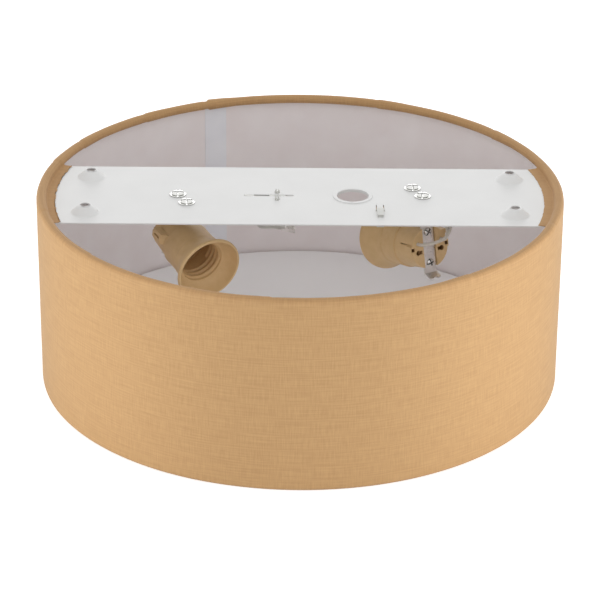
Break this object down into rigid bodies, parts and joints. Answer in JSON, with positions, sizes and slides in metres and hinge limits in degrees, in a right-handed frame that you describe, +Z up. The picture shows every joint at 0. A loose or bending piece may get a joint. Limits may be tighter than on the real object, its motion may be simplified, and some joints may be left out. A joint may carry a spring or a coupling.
{
  "type": "flush mount ceiling light",
  "caption": "Low round drum shade on wire rings with a ceiling plate across its open top, a loose opal diffuser below and screw lampholders on sheet-metal brackets.",
  "frame": {"origin": "on the ceiling, at the middle of the four fixing holes of the ceiling plate", "axes": "+Z up into the ceiling, +X along the ceiling plate"},
  "size_m": [0.32, 0.32, 0.1215],
  "materials": {
    "white_plate": "white powder coat, semi-matt",
    "bare_steel": "galvanised, dull",
    "white_nylon": "moulded, satin",
    "clear_nylon": "translucent, satin",
    "shade_liner": "white styrene film, matt",
    "shade_fabric": "slub-woven linen look",
    "opal_acrylic": "opal, satin",
    "screw_chrome": "bright plated",
    "lead_insulation": "heat-proof sleeve, satin",
    "holder_plastic": "moulded thermoset, satin",
    "brass": "bright"
  },
  "bodies": {
    "lamp": {"ceiling_plate": "white_plate", "ring_welds": "bare_steel", "cable_bush": "white_nylon", "cord_clip": "clear_nylon", "top_ring": "bare_steel", "bottom_ring": "bare_steel", "shade_liner": "shade_liner", "liner_seam_strip": "shade_liner", "shade_fabric": "shade_fabric", "plate_screws": "screw_chrome", "lampholder_screws": "screw_chrome", "terminal_block": "clear_nylon", "terminal_block_screws": "screw_chrome", "earth_hook": "bare_steel", "earth_hook_rivet": "bare_steel", "live_lead_right": "lead_insulation", "live_lead_left": "lead_insulation", "neutral_lead_right": "lead_insulation", "neutral_lead_left": "lead_insulation", "lampholder_shell_right": "holder_plastic", "lampholder_shell_left": "holder_plastic", "lampholder_base_right": "holder_plastic", "lampholder_base_left": "holder_plastic", "lampholder_bracket_right": "bare_steel", "lampholder_bracket_left": "bare_steel", "terminal_clamps_right": "brass", "terminal_clamps_left": "brass", "centre_contact_anchor_right": "brass", "centre_contact_anchor_left": "brass", "side_contact_anchor_right": "brass", "side_contact_anchor_left": "brass"},
    "diffuser": {"diffuser": "opal_acrylic"},
    "centre_contact_right": {"centre_contact_right": "brass"},
    "centre_contact_left": {"centre_contact_left": "brass"},
    "side_contact_right": {"side_contact_right": "brass"},
    "side_contact_left": {"side_contact_left": "brass"}
  },
  "joints": [
    {"name": "diffuser_lift", "type": "slide", "parent": "lamp", "child": "diffuser", "axis": [0, 0, 1], "range_m": [0, 0.04]},
    {"name": "centre_contact_right_press", "type": "hinge", "parent": "lamp", "child": "centre_contact_right", "pos_m": [0.07192, -0.00097, -0.04206], "axis": [0.8536, 0.521, 0], "range_deg": [0, 12], "stiffness_Nm_per_rad": 0.3, "springref_deg": -20.05},
    {"name": "side_contact_right_press", "type": "hinge", "parent": "lamp", "child": "side_contact_right", "pos_m": [0.07021, 0.00182, -0.02599], "axis": [0.8536, 0.521, 0], "range_deg": [0, 6], "stiffness_Nm_per_rad": 0.3, "springref_deg": -11.46},
    {"name": "centre_contact_left_press", "type": "hinge", "parent": "lamp", "child": "centre_contact_left", "pos_m": [-0.07192, 0.00097, -0.04206], "axis": [-0.8536, -0.521, 0], "range_deg": [0, 12], "stiffness_Nm_per_rad": 0.3, "springref_deg": -20.05},
    {"name": "side_contact_left_press", "type": "hinge", "parent": "lamp", "child": "side_contact_left", "pos_m": [-0.07021, -0.00182, -0.02599], "axis": [-0.8536, -0.521, 0], "range_deg": [0, 6], "stiffness_Nm_per_rad": 0.3, "springref_deg": -11.46}
  ]
}
